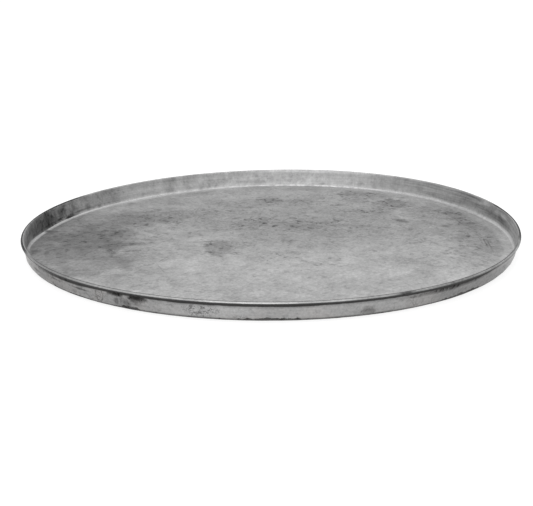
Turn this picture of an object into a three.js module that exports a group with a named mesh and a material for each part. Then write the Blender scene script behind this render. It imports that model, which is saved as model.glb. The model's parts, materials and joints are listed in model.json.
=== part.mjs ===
// A round candle tray, raised by hand from one disc of sheet metal. A low wall leans outwards from a
// flat floor, and its upper edge is rolled outwards over a ring of wire that stiffens the rim.
// Millimetres, +Z up. The origin is on the table, under the middle of the tray.

import * as THREE from "three";

// Driving dimensions
const trayDiameter = 400; // over the rolled rim
const trayHeight = 15; // from the table to the top of the rolled rim
const sheet = 0.6; // thickness of the metal
const wallLean = 12; // degrees out of the vertical
const bendRadius = 3.5; // inside the bend between floor and wall
const wireDiameter = 1.0;
const wireClearance = 0.1; // between the wire and the sheet rolled over it
const curlGap = 0.3; // between the free edge of the roll and the wall

// Fineness of the facets
const stepsAround = 96; // round the tray
const degreesPerStep = 20; // along the bend and the roll
const wireSides = 12;

// Everything in section lies in a plane through the axis, as points of (radius, height)
const wireRadius = wireDiameter / 2;
const curlInside = wireRadius + wireClearance;
const curlOutside = curlInside + sheet;
const curlCentre = new THREE.Vector2(trayDiameter / 2 - curlOutside, trayHeight - curlOutside);

// Angles in section are measured in degrees from the outward direction, upwards
const towardsTray = 180 - wallLean; // square to the wall, on its inner side
const awayFromTray = -wallLean; // square to the wall, on its outer side
const straightDown = -90;

// The roll turns over the wire and stops where its free edge is curlGap short of the wall
const curlOpening = THREE.MathUtils.radToDeg(Math.acos((curlInside - curlGap) / curlOutside));
const curlEnd = towardsTray - (360 - curlOpening);

function pointOnCircle(centre, radius, degrees) {
  const angle = THREE.MathUtils.degToRad(degrees);
  return new THREE.Vector2(centre.x + radius * Math.cos(angle), centre.y + radius * Math.sin(angle));
}

function arc(centre, radius, fromDegrees, toDegrees, steps) {
  return Array.from({ length: steps + 1 }, (_, i) =>
    pointOnCircle(centre, radius, fromDegrees + ((toDegrees - fromDegrees) * i) / steps),
  );
}

function stepsFor(fromDegrees, toDegrees) {
  return Math.ceil(Math.abs(toDegrees - fromDegrees) / degreesPerStep);
}

// The centre of the bend, which runs tangent into the floor and into the wall that hangs from the roll
function bendCentre() {
  const height = sheet + bendRadius;
  const besideWall = pointOnCircle(curlCentre, curlOutside + bendRadius, towardsTray);
  const inwards = (besideWall.y - height) * Math.tan(THREE.MathUtils.degToRad(wallLean));
  return new THREE.Vector2(besideWall.x - inwards, height);
}

// The section of the sheet: out along the underside, up the wall, round the roll and back inside
function panSection() {
  const bend = bendCentre();
  const bendSteps = stepsFor(straightDown, awayFromTray);
  const curlSteps = stepsFor(towardsTray, curlEnd);
  return [
    new THREE.Vector2(0, 0),
    ...arc(bend, bendRadius + sheet, straightDown, awayFromTray, bendSteps),
    ...arc(curlCentre, curlInside, towardsTray, curlEnd, curlSteps),
    ...arc(curlCentre, curlOutside, curlEnd, towardsTray, curlSteps),
    ...arc(bend, bendRadius, awayFromTray, straightDown, bendSteps),
    new THREE.Vector2(0, sheet),
  ];
}

// A section turned about the tray's axis. All sections share the same facets, so their clearances hold.
function turned(section) {
  return new THREE.LatheGeometry(section, stepsAround).rotateX(Math.PI / 2);
}

function trayPan() {
  const agedZinc = new THREE.MeshStandardMaterial({ color: 0x9a9a98, roughness: 0.5, metalness: 1 });
  const pan = new THREE.Mesh(turned(panSection()), agedZinc);
  pan.name = "tray_pan";
  return pan;
}

function rimWire() {
  const drawnSteel = new THREE.MeshStandardMaterial({ color: 0x7b7a77, roughness: 0.4, metalness: 1 });
  const wire = new THREE.Mesh(turned(arc(curlCentre, wireRadius, 0, 360, wireSides)), drawnSteel);
  wire.name = "rim_wire";
  return wire;
}

const tray = new THREE.Group();
tray.name = "candle_tray";
tray.add(trayPan(), rimWire());

export default tray;
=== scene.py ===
import json
import math
from types import SimpleNamespace
import bpy
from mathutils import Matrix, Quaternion, Vector, noise


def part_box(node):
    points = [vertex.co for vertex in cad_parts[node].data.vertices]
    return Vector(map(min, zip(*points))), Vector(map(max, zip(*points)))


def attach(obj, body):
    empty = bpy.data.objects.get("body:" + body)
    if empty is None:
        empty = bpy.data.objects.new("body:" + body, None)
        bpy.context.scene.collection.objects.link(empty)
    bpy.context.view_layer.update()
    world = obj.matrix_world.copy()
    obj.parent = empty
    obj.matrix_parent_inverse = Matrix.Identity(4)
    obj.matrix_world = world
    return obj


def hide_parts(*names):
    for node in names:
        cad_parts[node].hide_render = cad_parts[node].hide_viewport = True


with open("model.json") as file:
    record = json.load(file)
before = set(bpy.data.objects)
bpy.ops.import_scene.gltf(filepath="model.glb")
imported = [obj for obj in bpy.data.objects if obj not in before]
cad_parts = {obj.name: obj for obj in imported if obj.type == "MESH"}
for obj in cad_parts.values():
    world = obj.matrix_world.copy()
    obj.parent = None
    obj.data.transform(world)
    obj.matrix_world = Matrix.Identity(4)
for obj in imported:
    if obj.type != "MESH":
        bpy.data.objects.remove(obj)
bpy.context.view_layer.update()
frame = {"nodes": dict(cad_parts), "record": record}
print("frame loaded:", ", ".join(sorted(frame["nodes"])))

mm = 0.001
tiny = 0.001 * mm  # points closer than this are one

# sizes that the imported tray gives
panLow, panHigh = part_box("tray_pan")
wireLow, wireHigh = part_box("rim_wire")
mounts = {mount["name"]: mount for mount in frame["record"]["mounts"]}

pan = {
    "rimRadius": (panHigh.x - panLow.x) / 2,
    "sheet": mounts["tray_floor"]["pos_m"][2],
    "lean": math.radians(12),  # wall, out of the vertical
    "bendRadius": 3.5 * mm,
    "curlGap": 0.3 * mm,  # free edge of the roll to the wall
    "around": 600,  # steps of the spin
    "floorRings": 26,
    "bendSteps": 8,
    "wallSteps": 7,
    "curlSteps": 26,
    "creaseAngle": math.radians(40),
}

wire = {
    "radius": (wireHigh.z - wireLow.z) / 2,
    "height": (wireHigh.z + wireLow.z) / 2,
    "outerRadius": (wireHigh.x - wireLow.x) / 2,
    "around": 256,
    "sides": 12,
}

# what the hammer left: sizes in metres, waves by their length, heights where each starts and ends
# lifts and pushes are lists of degrees round the tray, size and narrowness
handWork = {
    "threeLobes": -1.5 * mm,  # out of round
    "fourLobes": -0.8 * mm,
    "rimWobble": 0.2 * mm,
    "rimWave": 150 * mm,
    "rimLifts": [(-90, 0.55 * mm, 2), (60, 0.42 * mm, 3), (10, 0.2 * mm, 8), (148, -0.5 * mm, 10)],
    "rimStart": (4 * mm, 13 * mm),
    "floorSwell": 0.5 * mm,
    "floorWave": 85 * mm,
    "floorSlice": 0.2,  # height at which the wave is read
    "floorCalm": 0.75,  # share of the floor's radius where the swell starts to fade
    "wallDent": 0.16 * mm,
    "dentWave": 17 * mm,
    "dentStart": (1 * mm, 4 * mm),
    "dentEnd": (9 * mm, 12 * mm),
    "dentSquash": 0.35,  # of heights, so that dents are tall
    "bendDent": 0.22 * mm,
    "bendWave": 9 * mm,
    "bendSlice": 1,  # added height at which its wave is read
    "bendReach": 2 * mm,  # onto the floor
    "bendEnd": (3 * mm, 6 * mm),
    "footPushes": [(188, 1.2 * mm, 14), (-4, 0.8 * mm, 14), (-65, -0.9 * mm, 3), (125, -1.8 * mm, 8)],
    "footReach": 0.8,  # share of the floor's radius where they start
    "footEnd": (2 * mm, 13 * mm),
}


def onCircle(centre, radius, angle):
    return Vector((centre.x + radius * math.cos(angle), 0, centre.z + radius * math.sin(angle)))


def arcPoints(centre, radius, start, end, steps):
    return [onCircle(centre, radius, start + (end - start) * i / steps) for i in range(steps + 1)]


def evenSteps(start, end, steps):
    return [start.lerp(end, i / steps) for i in range(1, steps)]


# the upper face of the sheet, from the middle of the floor to the free edge of the roll
def panSection():
    inward = math.pi - pan["lean"]
    beadRadius = pan["rimRadius"] - (wire["outerRadius"] - wire["radius"])
    bead = Vector((pan["rimRadius"] - beadRadius, 0, wire["height"]))
    opening = math.acos((beadRadius - pan["sheet"] - pan["curlGap"]) / beadRadius)
    besideWall = onCircle(bead, beadRadius + pan["bendRadius"], inward)
    bendHeight = pan["sheet"] + pan["bendRadius"]
    drop = besideWall.z - bendHeight
    bend = Vector((besideWall.x - drop * math.tan(pan["lean"]), 0, bendHeight))
    floor = [Vector((bend.x * i / pan["floorRings"], 0, pan["sheet"])) for i in range(pan["floorRings"])]
    corner = arcPoints(bend, pan["bendRadius"], -math.pi / 2, -pan["lean"], pan["bendSteps"])
    curl = arcPoints(bead, beadRadius, inward, inward - 2 * math.pi + opening, pan["curlSteps"])
    wall = evenSteps(corner[-1], curl[0], pan["wallSteps"])
    return floor, corner, wall, curl


# lengths along the section, by which the finish finds floor, bend, wall and roll
floorPart, bendPart, wallPart, curlPart = panSection()
section = floorPart + bendPart + wallPart + curlPart
alongSection = [0.0]
for here, there in zip(section, section[1:]):
    alongSection.append(alongSection[-1] + (there - here).length)
bendFrom = alongSection[len(floorPart)]
wallFrom = alongSection[len(floorPart) + len(bendPart) - 1]
curlFrom = alongSection[-len(curlPart)]


def ease(value, low, high):
    share = min(max((value - low) / (high - low), 0), 1)
    return share * share * (3 - 2 * share)


def wave(place, length):
    return noise.noise(place / length)


# the sum of a few soft bulges round the tray
def bulges(outward, places):
    total = 0
    for degrees, size, narrow in places:
        angle = math.radians(degrees)
        facing = outward.dot(Vector((math.cos(angle), math.sin(angle), 0)))
        total += size * max(facing, 0) ** narrow
    return total


# pushes every point of a mesh as the hand and the hammer did
def workByHand(mesh):
    work = handWork
    bendStart = bendPart[0].x
    for vert in mesh.vertices:
        place = vert.co.copy()
        radius = math.hypot(place.x, place.y)
        if radius < tiny:
            continue
        outward = Vector((place.x, place.y, 0)) / radius
        angle = math.atan2(place.y, place.x)
        lobes = work["threeLobes"] * math.cos(3 * angle) + work["fourLobes"] * math.cos(4 * angle)
        push = lobes * (radius / pan["rimRadius"]) ** 2
        onWall = ease(place.z, *work["dentStart"]) * (1 - ease(place.z, *work["dentEnd"]))
        upright = Vector((place.x, place.y, work["dentSquash"] * place.z))
        push += onWall * work["wallDent"] * wave(upright, work["dentWave"])
        inBend = ease(radius, bendStart - work["bendReach"], bendStart)
        inBend *= 1 - ease(place.z, *work["bendEnd"])
        otherSlice = upright + Vector((0, 0, work["bendSlice"]))
        push += inBend * work["bendDent"] * wave(otherSlice, work["bendWave"])
        atFoot = ease(radius, work["footReach"] * bendStart, bendStart)
        atFoot *= 1 - ease(place.z, *work["footEnd"])
        push += atFoot * bulges(outward, work["footPushes"])
        lift = work["rimWobble"] * wave(outward * pan["rimRadius"], work["rimWave"])
        lift = ease(place.z, *work["rimStart"]) * (lift + bulges(outward, work["rimLifts"]))
        flat = Vector((place.x, place.y, work["floorSlice"]))
        onFloor = 1 - ease(radius, work["floorCalm"] * bendStart, bendStart)
        swell = (0.5 + 0.5 * wave(flat, work["floorWave"])) * onFloor
        vert.co = place + outward * push + Vector((0, 0, lift + work["floorSwell"] * swell))


def editMode(on):
    bpy.ops.object.mode_set(mode="EDIT" if on else "OBJECT")


def makePan():
    bpy.ops.object.select_all(action="DESELECT")
    bpy.ops.mesh.primitive_plane_add(size=pan["sheet"])
    tray = bpy.context.object
    tray.name = tray.data.name = "hammered_pan"
    editMode(True)
    bpy.ops.mesh.merge(type="CENTER")
    bpy.ops.transform.translate(value=section[0])
    for here, there in zip(section, section[1:]):
        bpy.ops.mesh.extrude_vertices_move(TRANSFORM_OT_translate={"value": there - here})
    editMode(False)
    along = tray.data.attributes.new("alongSection", "FLOAT", "POINT")
    along.data.foreach_set("value", alongSection)
    editMode(True)
    bpy.ops.mesh.select_all(action="SELECT")
    bpy.ops.mesh.spin(steps=pan["around"], angle=2 * math.pi, center=(0, 0, 0), axis=(0, 0, 1))
    bpy.ops.mesh.select_all(action="SELECT")
    bpy.ops.mesh.remove_doubles(threshold=tiny)
    bpy.ops.mesh.normals_make_consistent(inside=False)
    editMode(False)
    middle = min(tray.data.polygons, key=lambda face: face.center.xy.length)
    if middle.normal.z < 0:
        editMode(True)
        bpy.ops.mesh.flip_normals()
        editMode(False)
    workByHand(tray.data)
    sheet = tray.modifiers.new("sheet", "SOLIDIFY")
    sheet.thickness = pan["sheet"]
    sheet.offset = -1
    sheet.use_even_offset = True
    sheet.material_offset = 1  # slot 0 on the upper face, slot 1 on the lower face and the cut edge
    sheet.material_offset_rim = 1
    return tray, sheet


def makeWire():
    bpy.ops.object.select_all(action="DESELECT")
    ringRadius = wire["outerRadius"] - wire["radius"]
    bpy.ops.mesh.primitive_torus_add(location=(0, 0, wire["height"]), major_radius=ringRadius,
                                     minor_radius=wire["radius"], major_segments=wire["around"],
                                     minor_segments=wire["sides"])
    ring = bpy.context.object
    ring.name = ring.data.name = "ring_wire"
    bpy.ops.object.transform_apply(location=True, rotation=True, scale=True)
    workByHand(ring.data)
    bpy.ops.object.shade_smooth()
    return ring


# node helpers, which add to a tree and give back the node or its output
def addNode(tree, kind, inputs=None, **settings):
    node = tree.nodes.new(kind)
    for name, value in settings.items():
        setattr(node, name, value)
    for socket, value in (inputs or {}).items():
        if isinstance(value, bpy.types.NodeSocket):
            tree.links.new(value, node.inputs[socket])
        else:
            node.inputs[socket].default_value = value
    return node


def maths(tree, operation, a, b=0.0, clamp=False):
    return addNode(tree, "ShaderNodeMath", {0: a, 1: b}, operation=operation, use_clamp=clamp).outputs[0]


def chained(tree, operation, values):
    result = values[0]
    for value in values[1:]:
        result = maths(tree, operation, result, value)
    return result


def times(tree, *values):
    return chained(tree, "MULTIPLY", values)


def plus(tree, *values):
    return chained(tree, "ADD", values)


def most(tree, *values):
    return chained(tree, "MAXIMUM", values)


def minus(tree, value, part):
    return maths(tree, "SUBTRACT", value, part)


# a soft step of a value between two limits, from low up to high
def rise(tree, value, limits, low=0.0, high=1.0):
    inputs = {"Value": value, "From Min": limits[0], "From Max": limits[1], "To Min": low, "To Max": high}
    return addNode(tree, "ShaderNodeMapRange", inputs, interpolation_type="SMOOTHSTEP").outputs[0]


def fall(tree, value, limits, low=0.0, high=1.0):
    return rise(tree, value, limits, high, low)


# 1 from start to end and 0 outside, with soft edges
def band(tree, value, limits):
    start, end, soft = limits
    return times(tree, rise(tree, value, (start - soft, start + soft)),
                 fall(tree, value, (end - soft, end + soft)))


noiseMiddle = 0.5  # the level about which a noise swings


def noiseAt(tree, place, scale, detail, rough, twist=0.0):
    inputs = {"Vector": place, "Scale": scale, "Detail": detail, "Roughness": rough, "Distortion": twist}
    return addNode(tree, "ShaderNodeTexNoise", inputs).outputs["Fac"]


def streakNoise(tree, place, stretch, detail, rough, scale=1.0):
    longer = addNode(tree, "ShaderNodeMapping", {"Vector": place, "Scale": stretch}).outputs[0]
    return noiseAt(tree, longer, scale, detail, rough)


# a noise that swings about 0
def spread(tree, value, amount):
    return times(tree, minus(tree, value, noiseMiddle), amount)


# the mix node numbers its sockets by kind
def blendColour(tree, mask, first, second):
    return addNode(tree, "ShaderNodeMix", {0: mask, 6: first, 7: second}, data_type="RGBA").outputs[2]


def blendValue(tree, mask, first, second):
    return addNode(tree, "ShaderNodeMix", {0: mask, 2: first, 3: second}, data_type="FLOAT").outputs[0]


def newGroup(name, inputs, outputs):
    tree = bpy.data.node_groups.new(name, "ShaderNodeTree")
    for label, kind in inputs.items():
        tree.interface.new_socket(label, in_out="INPUT", socket_type="NodeSocket" + kind)
    for label in outputs:
        tree.interface.new_socket(label, in_out="OUTPUT", socket_type="NodeSocketFloat")
    start = tree.nodes.new("NodeGroupInput")
    end = tree.nodes.new("NodeGroupOutput")
    return tree, start.outputs, end.inputs


def useGroup(tree, group, inputs):
    return addNode(tree, "ShaderNodeGroup", inputs, node_tree=group).outputs


# detail, roughness and twist of the noises in cloudy oxide
oxideNoises = {
    "Clouds": (6.0, 0.7, 0.9),
    "Blotch": (4.0, 0.65, 0.6),
    "Flecks": (5.0, 0.75, 0.5),
    "Grain": (2.0, 0.7, 0.0),
    "Pepper": (3.0, 0.6, 0.8),
}
pepperRange = (0.52, 0.64)


# all of them swing about 0 but the pepper, which is mostly 0
def makeCloudGroup():
    scales = {label + " Scale": "Float" for label in oxideNoises}
    tree, given, out = newGroup("oxide_clouds", {"Place": "Vector", **scales}, oxideNoises)
    for label, character in oxideNoises.items():
        value = noiseAt(tree, given["Place"], given[label + " Scale"], *character)
        value = rise(tree, value, pepperRange) if label == "Pepper" else minus(tree, value, noiseMiddle)
        tree.links.new(value, out[label])
    return tree


stainShape = {
    "reach": 4,  # half sizes from the middle of a stain to the end of its gradient
    "edge": (0.2, 1.25),  # half sizes between which it fades
    "merge": 0.1,  # softness where stains meet
    "floorHigh": 6,  # half height on the floor, in millimetres
    "wallThick": 8,  # half thickness on the wall, in millimetres
    "wallInset": 3 * mm,  # from the rim
    "wallCurve": 3,  # added thickness, in depths of the wall's curve
}


# one stain: its depth in the middle, 0 past its edge, which the ragged value frays
def makeStainGroup():
    tree, given, out = newGroup("stain_patch", {
        "Place": "Vector", "Centre": "Vector", "Turn": "Vector", "Size": "Vector",
        "Ragged": "Float", "Depth": "Float"}, ["Mask"])
    local = addNode(tree, "ShaderNodeMapping", {"Vector": given["Place"], "Location": given["Centre"],
                                                "Rotation": given["Turn"], "Scale": given["Size"]},
                    vector_type="TEXTURE")
    ball = addNode(tree, "ShaderNodeTexGradient", {"Vector": local.outputs[0]}, gradient_type="SPHERICAL")
    away = times(tree, minus(tree, 1.0, ball.outputs["Fac"]), stainShape["reach"])
    mask = fall(tree, plus(tree, away, given["Ragged"]), stainShape["edge"])
    tree.links.new(times(tree, mask, given["Depth"]), out["Mask"])
    return tree


tideNoise = {"detail": 3.0, "rough": 0.6, "twist": 0.5}


# thin dark outlines, as dried water leaves them
def makeTideGroup():
    tree, given, out = newGroup("tide_lines", {
        "Place": "Vector", "Scale": "Float", "Width": "Float"}, ["Lines"])
    level = noiseAt(tree, given["Place"], given["Scale"], **tideNoise)
    away = maths(tree, "ABSOLUTE", minus(tree, level, noiseMiddle))
    tree.links.new(fall(tree, away, (0.0, given["Width"])), out["Lines"])
    return tree


cloudGroup = makeCloudGroup()
stainGroup = makeStainGroup()
tideGroup = makeTideGroup()


# a stain on the floor: place and half sizes in millimetres, turn in degrees
def floorStain(x, y, halfWide, halfDeep, turn, depth):
    halfSizes = Vector((halfWide, halfDeep, stainShape["floorHigh"]))
    return {"Centre": (x * mm, y * mm, 0), "Turn": (0, 0, math.radians(turn)),
            "Size": halfSizes * mm * stainShape["reach"], "Depth": depth}


# a stain on the wall: degrees round the tray from +X, height and half sizes in millimetres
def wallStain(angle, height, halfWide, halfHigh, depth):
    turn = math.radians(angle)
    radius = pan["rimRadius"] - stainShape["wallInset"]
    fallBack = halfWide ** 2 * mm / (2 * radius)  # of the curved wall at the ends of a wide stain
    halfThick = stainShape["wallThick"] + stainShape["wallCurve"] * fallBack
    return {"Centre": (radius * math.cos(turn), radius * math.sin(turn), height * mm), "Turn": (0, 0, turn),
            "Size": Vector((halfThick, halfWide, halfHigh)) * mm * stainShape["reach"], "Depth": depth}


def addStains(tree, place, ragged, stains):
    total = None
    for stain in stains:
        mask = useGroup(tree, stainGroup, {"Place": place, "Ragged": ragged, **stain})["Mask"]
        if total is None:
            total = mask
        else:
            inputs = {0: total, 1: mask, 2: stainShape["merge"]}
            total = addNode(tree, "ShaderNodeMath", inputs, operation="SMOOTH_MAX").outputs[0]
    return total


# the sum of several noises of the oxide, each times its share
def mixed(tree, oxide, shares):
    return plus(tree, *[times(tree, oxide[label], share) for label, share in shares.items()])


# shares of stains and clouds in the level, and the ranges of that level
fleckRule = {
    "stains": 0.3,
    "clouds": 0.35,
    "flecks": (0.02, 0.3),
    "pepper": (-0.1, 0.25),
    "leastPepper": 0.4,
}


# oxide gathers in flecks and pepper, which close up where a stain is deep
def flecked(tree, oxide, stain, flecks, pepper):
    level = plus(tree, oxide["Flecks"], times(tree, stain, fleckRule["stains"]),
                 times(tree, oxide["Clouds"], fleckRule["clouds"]))
    spots = rise(tree, level, fleckRule["flecks"], 0.0, flecks)
    dust = rise(tree, level, fleckRule["pepper"], fleckRule["leastPepper"] * pepper, pepper)
    return plus(tree, spots, times(tree, oxide["Pepper"], dust))


# limits in millimetres past an edge: across the tray the edge is 0, along the sheet it is a length
def slope(edge, start, end):
    return edge + start * mm, edge + end * mm


def strip(edge, start, end, soft):
    return edge + start * mm, edge + end * mm, soft * mm


wholeRange = (0.0, 1.0)


def inPlace(tree):
    return addNode(tree, "ShaderNodeTexCoord").outputs["Object"]


# what the finish of a face of the sheet is made from
def readSheet(tree, finish):
    place = inPlace(tree)
    along = addNode(tree, "ShaderNodeAttribute", attribute_name="alongSection").outputs["Fac"]
    side = addNode(tree, "ShaderNodeSeparateXYZ", {0: place}).outputs
    scales = {label + " Scale": scale for label, scale in finish["oxide"].items()}
    oxide = useGroup(tree, cloudGroup, {"Place": place, **scales})
    ragged = mixed(tree, oxide, finish["ragged"])
    return SimpleNamespace(place=place, along=along, x=side["X"], y=side["Y"], oxide=oxide, ragged=ragged)


def startMetal(name):
    material = bpy.data.materials.new(name)
    material.use_nodes = True
    tree = material.node_tree
    shader = tree.nodes["Principled BSDF"]
    shader.inputs["Metallic"].default_value = 1
    return material, tree, shader


def finishMetal(tree, shader, colour, roughness, height, bumpDepth):
    tree.links.new(colour, shader.inputs["Base Color"])
    tree.links.new(roughness, shader.inputs["Roughness"])
    bump = addNode(tree, "ShaderNodeBump", {"Height": height, "Distance": bumpDepth, "Strength": 1.0})
    tree.links.new(bump.outputs["Normal"], shader.inputs["Normal"])


# parts of the inside: x runs to the right, y to the back
insideZones = {
    "leftX": slope(0, -180, -110),
    "rightX": slope(0, 100, 165),
    "backY": slope(0, 130, 180),
    "behindY": slope(0, -10, 45),
    "endRightY": slope(0, 30, 95),
    "leftOfMiddleX": slope(0, -80, -25),
    "nearBackX": slope(0, -165, -120),
    "floorRise": 1.7 * mm,  # of the oxide's end, at the two ends of the tray
    "wallRise": 1.2 * mm,
    "leftDrop": 1.0 * mm,
    "nearBackDrop": 2.2 * mm,
    "floorEnd": slope(bendFrom, -0.5, 0.5),
    "pastFloor": 0.15,  # share of the floor's oxide in the bend
    "wallStart": slope(bendFrom, 2.4, 3.4),
    "softWallStart": slope(bendFrom, 2.0, 6.5),  # at the right
    "besideStart": slope(bendFrom, -12, -1),
    "besideEnd": slope(bendFrom, 0.5, 2.5),
    "besideY": slope(0, 0, 60),
    "besideShare": 0.4,  # of the floor's oxide
}


def insideMasks(tree, face):
    zones = insideZones
    left = fall(tree, face.x, zones["leftX"])
    right = rise(tree, face.x, zones["rightX"])
    behind = rise(tree, face.y, zones["behindY"])
    backLeft = times(tree, left, behind)
    frontLeft = minus(tree, left, backLeft)
    endRight = times(tree, right, fall(tree, face.y, zones["endRightY"]))
    leftOfMiddle = times(tree, fall(tree, face.x, zones["leftOfMiddleX"]), behind)
    nearBack = times(tree, leftOfMiddle, rise(tree, face.x, zones["nearBackX"]))
    # the oxide of floor and wall ends in the bend: lower at the back left, higher at the two ends
    ends = plus(tree, frontLeft, endRight)
    lower = times(tree, leftOfMiddle, zones["leftDrop"])
    wallLine = plus(tree, minus(tree, face.along, times(tree, ends, zones["wallRise"])), lower)
    floorLine = minus(tree, face.along, times(tree, ends, zones["floorRise"]))
    floorLine = plus(tree, floorLine, lower, times(tree, nearBack, zones["nearBackDrop"]))
    onWall = blendValue(tree, right, rise(tree, wallLine, zones["wallStart"]),
                        rise(tree, wallLine, zones["softWallStart"]))
    # painted highlight on the floor beside the bend, except at the left: it gets less oxide and a paler tone
    # there
    beside = times(tree, rise(tree, face.along, zones["besideStart"]),
                   fall(tree, face.along, zones["besideEnd"]),
                   most(tree, right, rise(tree, face.y, zones["besideY"])), minus(tree, 1.0, left))
    onFloor = times(tree, fall(tree, floorLine, zones["floorEnd"], zones["pastFloor"]),
                    fall(tree, beside, wholeRange, zones["besideShare"]))
    return SimpleNamespace(left=left, right=right, back=rise(tree, face.y, zones["backY"]),
                           backLeft=backLeft, frontLeft=frontLeft, endRight=endRight,
                           leftOfMiddle=leftOfMiddle, nearBack=nearBack, wallLine=wallLine,
                           onFloor=onFloor, onWall=onWall, beside=beside)


floorOxide = {
    "dimmedAreas": [
        floorStain(0, 62, 250, 132, 0, 0.38),  # towards the back and the sides
        floorStain(-165, 15, 110, 150, 0, 0.64),
        floorStain(175, 20, 95, 130, 0, 0.5),
        floorStain(-150, 16, 70, 90, 0, 0.82),
        floorStain(-115, 75, 60, 50, 0, 0.7),
        floorStain(-10, 122, 95, 42, 0, 0.42),
        floorStain(-86, -86, 46, 34, 0, 0.2),
        floorStain(0, -82, 56, 30, 0, 0.12),
    ],
    "stains": [
        floorStain(-128, 5, 22, 60, 8, 0.62),
        floorStain(-105, 48, 26, 14, 10, 0.5),
        floorStain(-160, -20, 26, 40, 0, 0.5),
        floorStain(-66, 94, 40, 22, 10, 0.46),
        floorStain(22, 50, 70, 22, -4, 0.66),  # broken arc behind the middle
        floorStain(-20, 66, 16, 8, 30, 0.8),
        floorStain(-12, 54, 30, 22, -25, 0.76),
        floorStain(20, 132, 44, 11, -8, 0.7),
        floorStain(60, 114, 14, 5, 0, 0.85),
        floorStain(80, 150, 28, 26, 0, 0.66),
        floorStain(105, 122, 26, 26, 15, 0.74),
        floorStain(92, 92, 26, 16, 0, 0.58),
        floorStain(110, 59, 7, 15, 20, 0.82),
        floorStain(158, 62, 18, 44, 20, 0.46),
        floorStain(162, 60, 9, 38, 15, 0.84),
        floorStain(155, 8, 13, 22, 0, 0.62),
        floorStain(40, -60, 26, 20, 0, 0.36),
        floorStain(8, -46, 22, 20, 0, 0.36),
        floorStain(-112, -98, 40, 16, -40, 0.36),
        floorStain(-12, -146, 3, 4, 0, 0.45),
    ],
    "clearSpots": [  # with a plain outline
        floorStain(-43.4, -18.5, 17, 35, 7, 1.0),  # like a thumb
        floorStain(-30, -34, 13, 12, 0, 0.5),
    ],
    "darkSpots": [  # these go on into the bend
        floorStain(-186, 36, 6, 11, 60, 0.72),
        floorStain(-189, -23, 7, 12, 0, 0.7),
        floorStain(-179, -27, 4, 13, 0, 0.64),
        floorStain(-170, 75, 6, 6, 0, 0.5),
        floorStain(111.6, 57, 6, 13, 20, 0.64),  # on the right
        floorStain(108, 69, 5, 10, 30, 0.44),
    ],
    "dimmedFray": 0.4,
    "spotFray": {"Flecks": 1.3, "Blotch": 0.5},
    "dimmedFilm": 0.68,
    "stainFilm": 0.32,
    "spotRange": (0.1, 0.8),
    "spotFilm": 0.27,
    "dimmedFlecks": 0.6,
    "spotFlecks": 2.0,
    "flecks": 0.22,
    "pepper": 0.22,
    "fleckX": slope(0, -150, -60),
    "leftFlecks": 0.72,  # share of them at the left
    "speckX": slope(0, -120, -50),
    "leftSpecks": 0.05,
    "specks": 0.27,
}


def floorDark(tree, face, masks):
    settings = floorOxide
    dimmed = addStains(tree, face.place, times(tree, face.ragged, settings["dimmedFray"]), settings["dimmedAreas"])
    stains = addStains(tree, face.place, face.ragged, settings["stains"])
    frayed = mixed(tree, face.oxide, settings["spotFray"])
    spots = addStains(tree, face.place, frayed, settings["clearSpots"])
    spots = rise(tree, spots, settings["spotRange"], 0.0, settings["spotFilm"])
    film = most(tree, times(tree, dimmed, settings["dimmedFilm"]),
                times(tree, stains, settings["stainFilm"]), spots)
    fleckStains = most(tree, stains, times(tree, dimmed, settings["dimmedFlecks"]),
                       times(tree, spots, settings["spotFlecks"]))
    flecks = flecked(tree, face.oxide, fleckStains, settings["flecks"], settings["pepper"])
    flecks = times(tree, flecks, rise(tree, face.x, settings["fleckX"], settings["leftFlecks"]))
    specks = times(tree, plus(tree, stains, spots), face.oxide["Pepper"],
                   rise(tree, face.x, settings["speckX"], settings["leftSpecks"], settings["specks"]))
    dark = times(tree, plus(tree, film, flecks, specks), masks.onFloor)
    return most(tree, dark, addStains(tree, face.place, frayed, settings["darkSpots"]))


wallOxide = {
    "stains": [
        wallStain(166, 8, 26, 15, 0.86),  # black corner at the left
        wallStain(168, 7, 84, 20, 0.72),
        wallStain(181, 8.5, 16, 3.5, 0.6),
        wallStain(158.5, 8, 15, 14, 0.82),
        wallStain(152, 3.4, 34, 2.2, 0.48),
        wallStain(157, 12, 9, 3, 0.7),
        wallStain(160, 3, 9, 3.5, 0.85),
        wallStain(147.6, 3.5, 7, 6.5, 0.62),
        wallStain(140, 3, 3.5, 2.4, 0.55),
        wallStain(143, 8, 40, 14, 0.34),
        floorStain(-176.8, 78.7, 7, 18, 156, 1.0),
        wallStain(96, 5, 16, 3, 0.3),  # blots at the back
        wallStain(103.5, 6, 14, 8, 0.26),
        wallStain(106, 3.4, 3, 1.6, 0.4),
        wallStain(75.5, 3, 3, 1.5, 0.35),
        wallStain(10, 7.2, 18, 3.4, 0.6),  # smear at the right
        wallStain(15, 7, 26, 4, 0.42),
        wallStain(6, 6, 34, 3, 0.36),
        wallStain(22, 7, 60, 7, 0.22),
        wallStain(-63.6, 13.8, 8, 2.4, 0.9),  # marks on the bead
        wallStain(-97.4, 13.6, 3.5, 1.2, 0.9),
        # these two are painted shade: the near bead greyer towards the right
        wallStain(-48, 14.5, 40, 2.6, 0.42),
        wallStain(-37, 14, 36, 3, 0.34),
        wallStain(-112, 14, 12, 2.4, 0.2),
        wallStain(-72, 14, 14, 2.4, 0.2),
    ],
    "fray": 0.6,
    "runs": {"stretch": (95, 95, 40), "detail": 4.0, "rough": 0.6},
    "runRange": (0.35, 0.6),
    "betweenRuns": 0.87,
    "film": 0.74,
    "flecks": 0.2,
    "pepper": 0.16,
}


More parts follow.
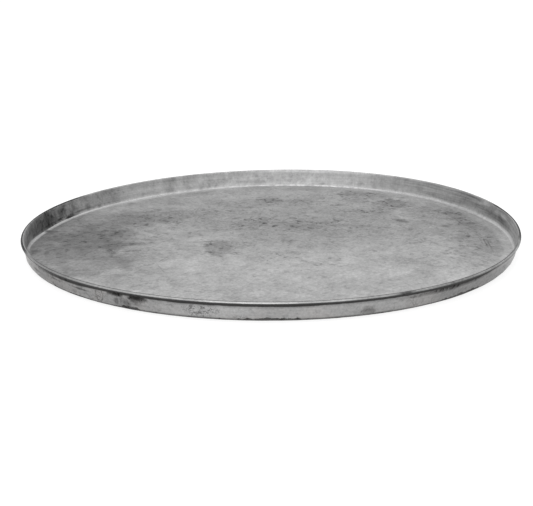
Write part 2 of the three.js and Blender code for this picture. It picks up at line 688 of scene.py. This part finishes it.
def wallDark(tree, face, masks):
    settings = wallOxide
    stains = addStains(tree, face.place, times(tree, face.ragged, settings["fray"]), settings["stains"])
    # they ran down the wall at the left
    runs = streakNoise(tree, face.place, **settings["runs"])
    runs = rise(tree, runs, settings["runRange"], settings["betweenRuns"])
    stains = times(tree, stains, blendValue(tree, masks.left, 1.0, runs))
    flecks = flecked(tree, face.oxide, stains, settings["flecks"], settings["pepper"])
    return times(tree, plus(tree, flecks, times(tree, stains, settings["film"])), masks.onWall)


insideMarks = {
    "scratches": [
        floorStain(-84.5, -49, 0.9, 15, -23, 0.22),
        floorStain(-85, -73, 0.9, 16, 19, 0.22),
        floorStain(171.3, -13, 0.9, 17, -1, 0.3),
        floorStain(173.6, -20, 0.9, 15, -1, 0.3),
        floorStain(168.6, -8, 0.8, 17, 0, 0.22),
        floorStain(60, -20, 0.8, 30, 62, 0.14),
        floorStain(-10, -95, 0.8, 26, -70, 0.14),
        floorStain(15, 85, 0.8, 34, 50, 0.16),
    ],
    "scratchFray": 1.5,
    "corner": (bendFrom + 2.2 * mm, wallFrom + 0.5 * mm, 0.5 * mm),
    "cornerDark": 0.13,  # at the back left
}


def marksDark(tree, face, masks):
    marks = insideMarks
    corner = times(tree, band(tree, face.along, marks["corner"]), masks.backLeft, marks["cornerDark"])
    fray = times(tree, face.oxide["Grain"], marks["scratchFray"])
    return plus(tree, corner, addStains(tree, face.place, fray, marks["scratches"]))


insideTone = {
    "lightened": [
        floorStain(-35, -78, 50, 34, 0, 0.05),
        # a painted glint near the rim at the front left
        floorStain(-98, -128.5, 4.4, 3, 40, 0.4),
        wallStain(8.5, 11, 9, 2.8, 0.3),
        wallStain(13, 10.6, 9, 2.6, 0.3),
        wallStain(20, 12.8, 10, 2.4, 0.56),
        wallStain(151, 11, 7, 4.5, 0.36),
        wallStain(154.5, 10, 3, 4, 0.2),
        wallStain(101, 1.2, 3, 1.4, 0.3),
        wallStain(70, 9, 38, 12, 0.2),
        wallStain(59, 7, 60, 12, 0.14),
    ],
    "level": 0.74,
    "swings": {"Clouds": 0.7, "Blotch": 0.4, "Flecks": 0.45},
    "grain": 0.75,
    "wallGrain": 0.6,  # share of it on the wall
    "frontY": slope(0, -70, -20),
    "frontBlotch": 0.25,
    "beside": 0.1,
    "upright": {"stretch": (120, 120, 45), "detail": 4.0, "rough": 0.65},
    "uprightSwing": 0.85,
    "rolled": {"stretch": (30, 30, 700), "detail": 3.0, "rough": 0.6},
    "rolledSwing": 1.4,
    "rolledElsewhere": 0.3,  # share of it away from the right
    "bend": strip(bendFrom, 0.3, 3.0, 0.5),
    "bendTone": 0.06,
    "bendRight": 0.2,
    "bendLeft": 0.14,
    "bendFrontLeft": -0.1,
    "floorEdge": strip(bendFrom, -3.2, 0.3, 0.8),
    "floorEdgeTone": 0.22,
}


def zincTone(tree, face, masks):
    tone = insideTone
    grain = times(tree, face.oxide["Grain"], tone["grain"],
                  fall(tree, masks.onWall, wholeRange, tone["wallGrain"]))
    front = times(tree, fall(tree, face.y, tone["frontY"]), face.oxide["Blotch"], tone["frontBlotch"])
    lightened = addStains(tree, face.place, face.ragged, tone["lightened"])
    # hammer streaks up the wall at the back, rolling lines along it at the right
    upright = spread(tree, streakNoise(tree, face.place, **tone["upright"]), tone["uprightSwing"])
    rolled = spread(tree, streakNoise(tree, face.place, **tone["rolled"]), tone["rolledSwing"])
    rolled = times(tree, rise(tree, masks.right, wholeRange, tone["rolledElsewhere"]), rolled)
    streaks = times(tree, masks.onWall, plus(tree, times(tree, masks.back, upright), rolled))
    # the bend gets a painted highlight, and so does the edge of the floor beside it at the back left
    bend = plus(tree, times(tree, masks.endRight, tone["bendRight"]),
                times(tree, masks.leftOfMiddle, tone["bendLeft"]),
                times(tree, masks.frontLeft, tone["bendFrontLeft"]), tone["bendTone"])
    bend = times(tree, band(tree, masks.wallLine, tone["bend"]), bend)
    floorEdge = times(tree, band(tree, face.along, tone["floorEdge"]), masks.nearBack, tone["floorEdgeTone"])
    return plus(tree, mixed(tree, face.oxide, tone["swings"]), tone["level"], grain, front, lightened,
                times(tree, masks.beside, tone["beside"]), streaks, bend, floorEdge)


# painted highlights, in a brighter zinc colour
paintedHighlights = {
    "dashes": {"stretch": (170, 170, 40), "detail": 4.0, "rough": 0.6},
    "dashRange": (0.42, 0.6),
    "leastDash": 0.06,
    "mostDash": 0.5,
    "dashBand": strip(bendFrom, 0.7, 2.8, 0.5),
    "splash": {"stretch": (150, 150, 70), "detail": 3.0, "rough": 0.6},
    "splashRange": (0.48, 0.72),
    "mostSplash": 0.14,
    "splashBand": strip(wallFrom, -2, 4, 2),
    "middleStartX": slope(0, -60, 30),
    "middleEndX": slope(0, 55, 115),
    "pastMiddle": 0.2,
    "frontBead": strip(curlFrom, 2.2, 3.5, 0.2),
    "frontX": strip(0, -48, 12, 14),
    "frontY": slope(0, -120, -60),
    "front": 0.18,
    "backBead": strip(curlFrom, -1.5, 0.8, 0.4),
    "backX": strip(0, -20, 100, 25),
    "back": 0.13,
}


def paintedHighlightMask(tree, face, masks):
    highlights = paintedHighlights
    # a painted highlight on the bend in dashes at the back, with splashes above them
    dashes = streakNoise(tree, face.place, **highlights["dashes"])
    dashes = times(tree, band(tree, masks.wallLine, highlights["dashBand"]),
                   rise(tree, dashes, highlights["dashRange"], highlights["leastDash"], highlights["mostDash"]))
    splash = streakNoise(tree, face.place, **highlights["splash"])
    splash = times(tree, rise(tree, splash, highlights["splashRange"], 0.0, highlights["mostSplash"]),
                   band(tree, face.along, highlights["splashBand"]))
    backMiddle = times(tree, masks.back, rise(tree, face.x, highlights["middleStartX"]),
                       fall(tree, face.x, highlights["middleEndX"], highlights["pastMiddle"]))
    bend = times(tree, most(tree, dashes, splash), backMiddle)
    # a painted highlight on the bead, in the middle of the front and of the back
    front = times(tree, band(tree, face.along, highlights["frontBead"]), band(tree, face.x, highlights["frontX"]),
                  fall(tree, face.y, highlights["frontY"], 0.0, highlights["front"]))
    back = times(tree, band(tree, face.along, highlights["backBead"]), band(tree, face.x, highlights["backX"]),
                 rise(tree, masks.back, wholeRange, 0.0, highlights["back"]))
    return most(tree, bend, front, back)


beadShadeAndDirt = {
    "topShiftY": slope(0, 0, 70),
    "topShift": 0.9 * mm,  # inwards along the far rim
    "leftStartY": slope(0, -95, -62),
    "leftEndY": slope(0, 95, 120),
    "leftTop": slope(curlFrom, 1.0, 1.5),
    "leftDark": 0.95,
    "rightX": slope(0, 90, 140),
    "rightStartY": slope(0, -90, -30),
    "rightEndY": slope(0, 44, 68),
    "pastRight": 0.25,
    "rightTop": slope(curlFrom, 0.85, 1.5),
    "rightDark": 0.92,
    "backTop": slope(curlFrom, 0.8, 1.4),
    "backDark": 0.5,
    "lip": strip(curlFrom, -0.3, 2.15, 0.15),
    "lipY": slope(0, -135, 40),
    "lipDark": 0.85,
    # painted shade over the near bead at its left
    "dimmed": strip(curlFrom, 1.3, 3.2, 0.3),
    "dimmedX": slope(0, -160, -95),
    "dimmedY": slope(0, -75, -40),
    "dimmedDark": 0.4,
    # painted shade, with some dirt, on the lower half of the bead
    "under": slope(curlFrom, 3.05, 3.75),
    "underDark": 0.92,
    "underX": slope(0, 150, 190),
    "underRight": 0.6,
}


def beadDark(tree, face, masks):
    shadeAndDirt = beadShadeAndDirt
    # a dark outline round the rolled rim at the two ends, on its inner side along the far rim
    topLine = plus(tree, face.along, rise(tree, face.y, shadeAndDirt["topShiftY"], 0.0, shadeAndDirt["topShift"]))
    leftRim = times(tree, masks.left, rise(tree, face.y, shadeAndDirt["leftStartY"]),
                    fall(tree, face.y, shadeAndDirt["leftEndY"]))
    leftLine = times(tree, leftRim, rise(tree, topLine, shadeAndDirt["leftTop"], 0.0, shadeAndDirt["leftDark"]))
    rightLine = times(tree, rise(tree, face.x, shadeAndDirt["rightX"]), rise(tree, face.y, shadeAndDirt["rightStartY"]),
                      fall(tree, face.y, shadeAndDirt["rightEndY"], shadeAndDirt["pastRight"]),
                      rise(tree, topLine, shadeAndDirt["rightTop"], 0.0, shadeAndDirt["rightDark"]))
    backLine = times(tree, masks.back, rise(tree, face.along, shadeAndDirt["backTop"], 0.0, shadeAndDirt["backDark"]))
    # a dark line along the inner side of the near bead, painted shade over its left stretch, and painted
    # shade with some dirt on its lower half
    lip = times(tree, band(tree, face.along, shadeAndDirt["lip"]),
                fall(tree, face.y, shadeAndDirt["lipY"], 0.0, shadeAndDirt["lipDark"]), minus(tree, 1.0, leftRim))
    dimmed = times(tree, band(tree, face.along, shadeAndDirt["dimmed"]),
                 fall(tree, face.x, shadeAndDirt["dimmedX"], 0.0, shadeAndDirt["dimmedDark"]), fall(tree, face.y, shadeAndDirt["dimmedY"]))
    under = times(tree, rise(tree, face.along, shadeAndDirt["under"], 0.0, shadeAndDirt["underDark"]),
                  fall(tree, face.x, shadeAndDirt["underX"], shadeAndDirt["underRight"]))
    return most(tree, under, leftLine, rightLine, backLine, lip, dimmed), rightLine


zincRelief = {
    "shares": {"Blotch": 1.0, "Flecks": 0.6},
    "depth": 0.12 * mm,
}


def finishZinc(tree, shader, face, colour, roughness):
    height = mixed(tree, face.oxide, zincRelief["shares"])
    finishMetal(tree, shader, colour, roughness, height, zincRelief["depth"])


def zincRough(tree, face, dark, finish):
    return plus(tree, times(tree, dark, finish["darkRough"]),
                times(tree, face.oxide["Blotch"], finish["blotchRough"]), finish["rough"])


insideFinish = {
    "darkOxide": (0.03, 0.03, 0.03, 1),
    "paleZinc": (0.54, 0.54, 0.54, 1),
    # colour of the painted highlights
    "highlightZinc": (0.85, 0.85, 0.85, 1),
    "oxide": {"Clouds": 11, "Blotch": 42, "Flecks": 105, "Pepper": 180, "Grain": 520},  # scales
    "ragged": {"Blotch": 2.0, "Clouds": 1.8},
    "rough": 0.54,
    "darkRough": 0.14,
    "blotchRough": 0.15,
    "outlineRough": 0.3,  # added on the right rim
    # less rough under the painted highlights
    "highlightSmooth": 0.2,
}


def insideMetal():
    finish = insideFinish
    material, tree, shader = startMetal("aged_zinc_inside")
    face = readSheet(tree, finish)
    masks = insideMasks(tree, face)
    dark = most(tree, floorDark(tree, face, masks), wallDark(tree, face, masks))
    dark = plus(tree, dark, marksDark(tree, face, masks))
    tone = zincTone(tree, face, masks)
    # painted highlights
    highlight = paintedHighlightMask(tree, face, masks)
    shadeAndDirt, rightLine = beadDark(tree, face, masks)
    dark = most(tree, dark, shadeAndDirt)
    tone = times(tree, tone, maths(tree, "SUBTRACT", 1.0, dark, clamp=True))
    colour = blendColour(tree, tone, finish["darkOxide"], finish["paleZinc"])
    colour = blendColour(tree, highlight, colour, finish["highlightZinc"])
    rough = plus(tree, zincRough(tree, face, dark, finish), times(tree, rightLine, finish["outlineRough"]))
    rough = minus(tree, rough, times(tree, highlight, finish["highlightSmooth"]))
    finishZinc(tree, shader, face, colour, rough)
    return material


# painted shade, with some dirt, in the groove under the bead, fading down the wall
grooveShadeAndDirt = {
    # the painted shade in the groove is thicker at these places
    "thick": [
        wallStain(-141, 11, 46, 9, 1.0),
        wallStain(-47, 11, 36, 9, 1.0),
        wallStain(150, 11, 40, 9, 0.8),
    ],
    "thickFray": 0.6,
    "thicker": 1.2 * mm,
    "uneven": 1.2 * mm,
    "thinX": slope(0, 10, 60),
    "thinner": 0.35 * mm,
    "line": slope(curlFrom, -3.5, -2.6),
    "lineDark": 0.89,
    # a softer darkening below the groove: painted shade, with some dust
    "dust": slope(curlFrom, -5.5, -2.3),
    "dustDark": 0.4,
    "leftX": slope(0, -190, -150),
    "leftShare": 0.4,
    "rightX": slope(0, 155, 190),
    "rightShare": 0.55,
}


def grooveDark(tree, face):
    shadeAndDirt = grooveShadeAndDirt
    thick = addStains(tree, face.place, times(tree, face.ragged, shadeAndDirt["thickFray"]), shadeAndDirt["thick"])
    line = plus(tree, face.along, times(tree, face.oxide["Blotch"], shadeAndDirt["uneven"]),
                times(tree, thick, shadeAndDirt["thicker"]))
    line = minus(tree, line, rise(tree, face.x, shadeAndDirt["thinX"], 0.0, shadeAndDirt["thinner"]))
    groove = most(tree, rise(tree, line, shadeAndDirt["line"], 0.0, shadeAndDirt["lineDark"]),
                  rise(tree, line, shadeAndDirt["dust"], 0.0, shadeAndDirt["dustDark"]))
    return times(tree, groove, rise(tree, face.x, shadeAndDirt["leftX"], shadeAndDirt["leftShare"]),
                 fall(tree, face.x, shadeAndDirt["rightX"], shadeAndDirt["rightShare"]))


# a black line along the foot: painted shade all along it, and real chips where it reaches higher
footShadeAndChips = {
    "chips": [
        wallStain(-91, 1, 30, 6, 1.0),
        wallStain(-47, 1, 30, 6, 1.0),
        wallStain(-120.5, 1, 14, 6, 0.9),
        wallStain(-141, 1, 56, 5, 0.6),
        wallStain(20, 1, 60, 6, 0.8),
        wallStain(120, 1, 60, 6, 0.8),
    ],
    "chipDepth": 2.9 * mm,
    "ragged": {"stretch": (210, 210, 60), "detail": 4.0, "rough": 0.6},
    "raggedSwing": 7 * mm,
    "line": slope(bendFrom, 2.0, 2.7),
    "steady": slope(bendFrom, 2.4, 5.0),
    "steadyDark": 0.9,
    "blotchRange": (-0.15, 0.12),
    "leastDark": 0.72,
    "mostDark": 0.97,
    "under": slope(bendFrom, -2, 0.5),
    "underShare": 0.3,
}


def footDark(tree, face):
    shadeAndDirt = footShadeAndChips
    ragged = spread(tree, streakNoise(tree, face.place, **shadeAndDirt["ragged"]), shadeAndDirt["raggedSwing"])
    chips = times(tree, addStains(tree, face.place, face.ragged, shadeAndDirt["chips"]), shadeAndDirt["chipDepth"])
    line = minus(tree, plus(tree, face.along, ragged), chips)
    foot = most(tree, fall(tree, line, shadeAndDirt["line"]),
                fall(tree, face.along, shadeAndDirt["steady"], 0.0, shadeAndDirt["steadyDark"]))
    return times(tree, foot,
                 fall(tree, face.oxide["Blotch"], shadeAndDirt["blotchRange"], shadeAndDirt["leastDark"], shadeAndDirt["mostDark"]),
                 rise(tree, face.along, shadeAndDirt["under"], shadeAndDirt["underShare"]))


outsideFinish = {
    "darkOxide": (0.016, 0.015, 0.014, 1),
    "paleZinc": (0.5, 0.5, 0.5, 1),
    "warmZinc": (0.5, 0.49, 0.485, 1),
    "warmRange": (-0.08, 0.12),  # of the clouds
    "oxide": {"Clouds": 22, "Blotch": 90, "Flecks": 170, "Pepper": 260, "Grain": 600},  # scales
    "ragged": {"Blotch": 1.1, "Clouds": 1.2},
    "dimmedAreas": [
        # the first four are painted shade: the wall darker towards the two sides of the front, where the
        # front light falls off, and under the bead at the right; the last two are real spots
        wallStain(-126, 7, 60, 14, 0.2),
        wallStain(-145, 7, 60, 14, 0.33),
        wallStain(-50, 11, 62, 3.8, 0.66),  # painted shade under the bead at the right
        wallStain(-45, 7, 70, 16, 0.33),
        wallStain(-71, 4, 7, 5, 0.42),
        wallStain(-118.5, 7.5, 10, 6, 0.4),
    ],
    "dimmedFray": 0.35,
    "stains": [
        wallStain(-123.5, 11.9, 9, 3.2, 0.95),
        wallStain(-118.3, 11, 10, 5.2, 0.97),
        wallStain(-121, 4.5, 8, 7, 0.5),
        wallStain(-123.3, 5.5, 2.5, 4, 0.7),
        wallStain(-120, 1.5, 10, 3.5, 0.9),
        wallStain(-152.5, 6.5, 12, 1.5, 0.6),
        wallStain(-143, 8.2, 14, 1.3, 0.65),
        wallStain(-134, 8, 18, 1.1, 0.65),
        # these three are painted shade under the bead, at the left and at the right
        wallStain(-146, 10.5, 34, 2.2, 0.5),
        wallStain(-140, 11.2, 50, 2.0, 0.75),
        wallStain(-49, 10.8, 42, 2.0, 0.5),
        wallStain(-61, 10, 8, 2, 0.6),
        wallStain(35, 7, 40, 5, 0.5),  # the far side has its own
        wallStain(92, 10, 22, 4, 0.8),
        wallStain(131, 5, 14, 6, 0.6),
        wallStain(160, 3, 40, 3, 0.7),
    ],
    "stainFilm": 0.7,
    "flecks": 0.3,
    "pepper": 0.2,
    "tideMarks": [
        wallStain(-128.3, 6.5, 8, 8, 1.0),
        wallStain(-104.5, 7, 18, 8, 1.0),
        wallStain(-97, 3, 8, 3, 0.8),
        wallStain(-30, 6, 20, 5, 0.7),
        wallStain(70, 7, 26, 6, 0.9),
        wallStain(160, 6, 20, 6, 0.8),
    ],
    "tideLines": [(150, 0.035), (240, 0.03)],  # scale, width
    "tideDark": 0.7,
    "outlines": [
        wallStain(-127.8, 7.5, 5, 7.5, 1.0),
        wallStain(75, 7, 7, 7, 0.9),
    ],
    "outlineFray": 0.8,
    "outlineBand": (0.4, 0.55, 0.08),
    "outlineDark": 0.74,
    "lightened": [
        wallStain(-102, 7, 34, 12, 0.14),
    ],
    "level": 0.74,
    "swings": {"Clouds": 0.6, "Flecks": 0.2, "Grain": 0.45},
    "drawn": {"stretch": (25, 25, 600), "detail": 3.0, "rough": 0.6},
    "drawnSwing": 0.3,
    "rough": 0.5,
    "darkRough": 0.2,
    "blotchRough": 0.2,
}


def outsideMetal():
    finish = outsideFinish
    material, tree, shader = startMetal("aged_zinc_outside")
    face = readSheet(tree, finish)
    stains = addStains(tree, face.place, face.ragged, finish["stains"])
    # painted shade to the sides and under the bead, with two real spots
    dimmed = addStains(tree, face.place, times(tree, face.ragged, finish["dimmedFray"]), finish["dimmedAreas"])
    dark = plus(tree, flecked(tree, face.oxide, stains, finish["flecks"], finish["pepper"]),
                most(tree, times(tree, stains, finish["stainFilm"]), dimmed))
    marks = times(tree, addStains(tree, face.place, face.ragged, finish["tideMarks"]), finish["tideDark"])
    for scale, width in finish["tideLines"]:
        tide = useGroup(tree, tideGroup, {"Place": face.place, "Scale": scale, "Width": width})
        dark = most(tree, dark, times(tree, tide["Lines"], marks))
    drops = addStains(tree, face.place, times(tree, face.ragged, finish["outlineFray"]), finish["outlines"])
    drops = times(tree, band(tree, drops, finish["outlineBand"]), finish["outlineDark"])
    dark = most(tree, dark, drops, grooveDark(tree, face), footDark(tree, face))
    drawn = spread(tree, streakNoise(tree, face.place, **finish["drawn"]), finish["drawnSwing"])
    tone = plus(tree, mixed(tree, face.oxide, finish["swings"]), finish["level"], drawn,
                addStains(tree, face.place, face.ragged, finish["lightened"]))
    tone = times(tree, tone, maths(tree, "SUBTRACT", 1.0, dark, clamp=True))
    warm = rise(tree, face.oxide["Clouds"], finish["warmRange"])
    zinc = blendColour(tree, warm, finish["paleZinc"], finish["warmZinc"])
    colour = blendColour(tree, tone, finish["darkOxide"], zinc)
    finishZinc(tree, shader, face, colour, zincRough(tree, face, dark, finish))
    return material


wireFinish = {
    "darkSteel": (0.12, 0.12, 0.118, 1),
    "brightSteel": (0.34, 0.34, 0.335, 1),
    "drawn": {"stretch": (0.1, 0.1, 1), "detail": 3.0, "rough": 0.55, "scale": 900},
    "drawnRange": (0.3, 0.7),
    "leastRough": 0.35,
    "mostRough": 0.5,
    "reliefDepth": 0.02 * mm,
}


def wireMetal():
    finish = wireFinish
    material, tree, shader = startMetal("drawn_wire")
    drawn = streakNoise(tree, inPlace(tree), **finish["drawn"])
    colour = blendColour(tree, drawn, finish["darkSteel"], finish["brightSteel"])
    rough = fall(tree, drawn, finish["drawnRange"], finish["leastRough"], finish["mostRough"])
    finishMetal(tree, shader, colour, rough, drawn, finish["reliefDepth"])
    return material


tray, sheet = makePan()
tray.data.materials.append(insideMetal())
tray.data.materials.append(outsideMetal())
bpy.ops.object.modifier_apply(modifier=sheet.name)
bpy.ops.object.shade_smooth_by_angle(angle=pan["creaseAngle"])
ring = makeWire()
ring.data.materials.append(wireMetal())
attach(tray, "root")
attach(ring, "root")
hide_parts("tray_pan")
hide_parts("rim_wire")
print("pan:", len(tray.data.polygons), "faces; wire:", len(ring.data.polygons), "faces")

stage = {
    "floorSize": 40,
    "floorDrop": 0.2 * mm,
    "floorColour": (0.25, 0.25, 0.25, 1),
    "floorGlow": 0.82,
    "skyRange": (-0.1, 1.0),  # heights of the direction looked in
    "skyLow": 0.72,
    "skyHigh": 1.15,
}


def seenRays(tree):
    path = addNode(tree, "ShaderNodeLightPath").outputs
    return most(tree, path["Is Camera Ray"], path["Is Glossy Ray"], path["Is Transmission Ray"])


def makeFloor():
    bpy.ops.object.select_all(action="DESELECT")
    bpy.ops.mesh.primitive_plane_add(size=stage["floorSize"], location=(0, 0, -stage["floorDrop"]))
    ground = bpy.context.object
    ground.name = ground.data.name = "studio_floor"
    paper = bpy.data.materials.new("studio_paper")
    paper.use_nodes = True
    tree = paper.node_tree
    tree.nodes.clear()
    strength = times(tree, seenRays(tree), stage["floorGlow"])
    glow = addNode(tree, "ShaderNodeEmission", {"Strength": strength})
    matt = addNode(tree, "ShaderNodeBsdfDiffuse", {"Color": stage["floorColour"]})
    both = addNode(tree, "ShaderNodeAddShader", {0: matt.outputs[0], 1: glow.outputs[0]})
    below = addNode(tree, "ShaderNodeNewGeometry").outputs["Backfacing"]  # clear, to see the underside
    clear = addNode(tree, "ShaderNodeBsdfTransparent")
    oneSided = addNode(tree, "ShaderNodeMixShader", {0: below, 1: both.outputs[0], 2: clear.outputs[0]})
    addNode(tree, "ShaderNodeOutputMaterial", {"Surface": oneSided.outputs[0]})
    ground.data.materials.append(paper)


# a plain sky, a little brighter overhead than at the horizon
def makeWorld():
    world = bpy.data.worlds.new("studio_white")
    bpy.context.scene.world = world
    world.use_nodes = True
    tree = world.node_tree
    tree.nodes.clear()
    way = addNode(tree, "ShaderNodeTexCoord").outputs["Generated"]
    height = addNode(tree, "ShaderNodeSeparateXYZ", {0: way}).outputs["Z"]
    strength = rise(tree, height, stage["skyRange"], stage["skyLow"], stage["skyHigh"])
    sky = addNode(tree, "ShaderNodeBackground", {"Color": (1, 1, 1, 1), "Strength": strength})
    addNode(tree, "ShaderNodeOutputWorld", {"Surface": sky.outputs[0]})


lamps = {
    "overhead": {"place": (0, 0.5, 1.6), "aim": (0, 0, 0), "size": (2.0, 1.2), "power": 7},
    "front": {"place": (-0.3, -1.7, 0.9), "aim": (0, 0.1, 0), "size": (1.8, 0.9), "power": 12},
}


def makeLamps():
    for name, lamp in lamps.items():
        light = bpy.data.lights.new(name + "_softbox", "AREA")
        light.shape = "RECTANGLE"
        light.size, light.size_y = lamp["size"]
        light.energy = lamp["power"]
        box = bpy.data.objects.new(light.name, light)
        bpy.context.collection.objects.link(box)
        box.location = lamp["place"]
        aim = Vector(lamp["aim"]) - Vector(lamp["place"])
        box.rotation_euler = aim.to_track_quat("-Z", "Y").to_euler()


photoCamera = {
    "distance": 1.0,
    "elevation": math.radians(15.99),
    "roll": math.radians(0.76),
    "sensor": 36,
    "lens": 82.87,
    "aimRight": -4.85 * mm,  # of the tray's middle, square to the view
    "aimUp": -9.3 * mm,
}


def makeCamera():
    lens = bpy.data.cameras.new("photo_camera")
    lens.sensor_width = photoCamera["sensor"]
    lens.lens = photoCamera["lens"]
    camera = bpy.data.objects.new("photo_camera", lens)
    bpy.context.collection.objects.link(camera)
    tilt = photoCamera["elevation"]
    up = Vector((0, math.sin(tilt), math.cos(tilt)))
    aim = Vector((photoCamera["aimRight"], 0, 0)) + up * photoCamera["aimUp"]
    camera.location = Vector((0, -math.cos(tilt), math.sin(tilt))) * photoCamera["distance"]
    look = (aim - camera.location).to_track_quat("-Z", "Y")
    camera.rotation_mode = "QUATERNION"
    camera.rotation_quaternion = look @ Quaternion((0, 0, 1), -photoCamera["roll"])
    bpy.context.scene.camera = camera


makeFloor()
makeWorld()
makeLamps()
makeCamera()
bpy.context.scene.view_settings.view_transform = "Standard"
print("stage, lamps and camera set")
